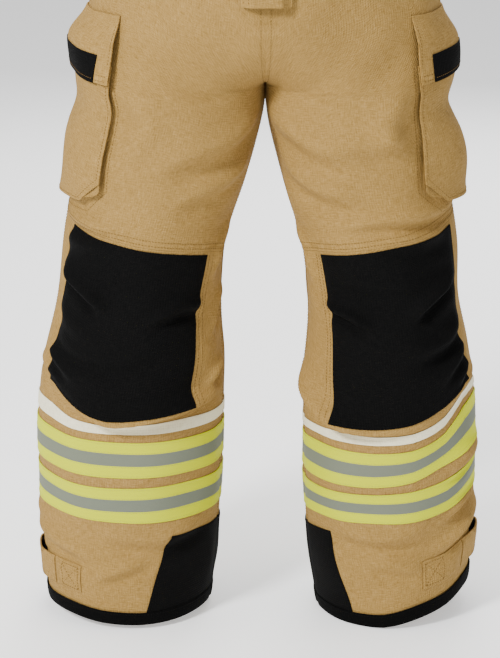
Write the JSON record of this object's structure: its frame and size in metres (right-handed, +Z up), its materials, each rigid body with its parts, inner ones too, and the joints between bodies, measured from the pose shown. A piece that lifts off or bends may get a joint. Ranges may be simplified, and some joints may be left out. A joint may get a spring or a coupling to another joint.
{
  "type": "bunker pants",
  "caption": "Firefighter's tan bunker pants with knee patches, bellows pockets, high-visibility bands, kick patches, cuff straps and a zip fly, standing on both hems.",
  "frame": {"origin": "middle of the two hems, on the floor, at the centre of the part's box", "axes": "+Z up, the front faces -Y, the wearer's left leg is on +X"},
  "size_m": [0.6018, 0.3059, 1.03],
  "materials": {
    "shell": "plain weave aramid, heathered tan",
    "liner": "quilted thermal liner",
    "black_cloth": "dense black reinforcement cloth",
    "foam": "closed-cell foam in cloth",
    "cream": "pale photoluminescent strip",
    "lime": "fluorescent tape with a silver retroreflective stripe",
    "hook_tape": "hook and loop pile",
    "webbing": "woven webbing",
    "buckle_plastic": "moulded",
    "zip_tape": "woven tape with moulded teeth",
    "brass": "satin",
    "steel": "nickel plated",
    "button_metal": "dark plated"
  },
  "bodies": {
    "root": {"left_thigh_front_panel": "shell", "right_thigh_front_panel": "shell", "left_knee_front_panel": "shell", "right_knee_front_panel": "shell", "left_back_panel": "shell", "right_back_panel": "shell", "left_liner": "liner", "right_liner": "liner", "left_knee_patch": "black_cloth", "right_knee_patch": "black_cloth", "left_knee_foam": "foam", "right_knee_foam": "foam", "left_cream_band": "cream", "right_cream_band": "cream", "left_trim_upper": "lime", "right_trim_upper": "lime", "left_trim_lower": "lime", "right_trim_lower": "lime", "left_hem_binding": "black_cloth", "right_hem_binding": "black_cloth", "left_kick_patch": "black_cloth", "right_kick_patch": "black_cloth", "left_cuff_strap_anchor": "shell", "right_cuff_strap_anchor": "shell", "left_cuff_loop_patch": "hook_tape", "right_cuff_loop_patch": "hook_tape", "left_pocket_face": "shell", "right_pocket_face": "shell", "left_pocket_gusset": "shell", "right_pocket_gusset": "shell", "left_pocket_loop_tape": "hook_tape", "right_pocket_loop_tape": "hook_tape", "left_waistband": "shell", "right_waistband": "shell", "left_waist_buckle": "buckle_plastic", "right_waist_buckle": "buckle_plastic", "zip_tape_left": "zip_tape", "zip_tape_right": "zip_tape", "snap_stud": "steel", "button_front_left": "button_metal", "button_front_right": "button_metal", "button_back_left": "button_metal", "button_back_right": "button_metal"},
    "left_flap": {"left_pocket_flap": "shell", "left_flap_patch": "black_cloth", "left_flap_hook_tape": "hook_tape"},
    "left_cuff": {"left_cuff_strap": "shell", "left_cuff_strap_hook": "hook_tape"},
    "left_strap": {"left_waist_strap": "webbing"},
    "right_flap": {"right_pocket_flap": "shell", "right_flap_patch": "black_cloth", "right_flap_hook_tape": "hook_tape"},
    "right_cuff": {"right_cuff_strap": "shell", "right_cuff_strap_hook": "hook_tape"},
    "right_strap": {"right_waist_strap": "webbing"},
    "fly": {"fly_flap": "shell"},
    "tab": {"waist_tab": "shell", "snap_cap": "steel"},
    "slider": {"zip_slider": "brass"},
    "pull": {"zip_pull": "brass"}
  },
  "joints": [
    {"name": "left_flap_lift", "type": "hinge", "parent": "root", "child": "left_flap", "pos_m": [0.2335, 0, 0.838], "axis": [0, -1, 0], "range_deg": [0, 120]},
    {"name": "right_flap_lift", "type": "hinge", "parent": "root", "child": "right_flap", "pos_m": [-0.2335, 0, 0.838], "axis": [0, 1, 0], "range_deg": [0, 120]},
    {"name": "left_cuff_peel", "type": "hinge", "parent": "root", "child": "left_cuff", "pos_m": [0.27758, -0.05957, 0.059], "axis": [0, 0, -1], "range_deg": [0, 100]},
    {"name": "right_cuff_peel", "type": "hinge", "parent": "root", "child": "right_cuff", "pos_m": [-0.27758, -0.05957, 0.059], "axis": [0, 0, 1], "range_deg": [0, 100]},
    {"name": "left_waist_take_up", "type": "slide", "parent": "root", "child": "left_strap", "axis": [0, 1, 0], "range_m": [0, 0.03]},
    {"name": "right_waist_take_up", "type": "slide", "parent": "root", "child": "right_strap", "axis": [0, 1, 0], "range_m": [0, 0.03]},
    {"name": "fly_open", "type": "hinge", "parent": "root", "child": "fly", "pos_m": [0.032, -0.1401, 0.918], "axis": [0, 0, 1], "range_deg": [0, 110]},
    {"name": "tab_open", "type": "hinge", "parent": "root", "child": "tab", "pos_m": [0.034, -0.1404, 1.005], "axis": [0, 0, 1], "range_deg": [0, 110]},
    {"name": "zip_run", "type": "slide", "parent": "root", "child": "slider", "axis": [0, 0, -1], "range_m": [0, 0.075]},
    {"name": "pull_tip", "type": "hinge", "parent": "slider", "child": "pull", "pos_m": [0, -0.145, 0.968], "axis": [-1, 0, 0], "range_deg": [0, 10]}
  ]
}
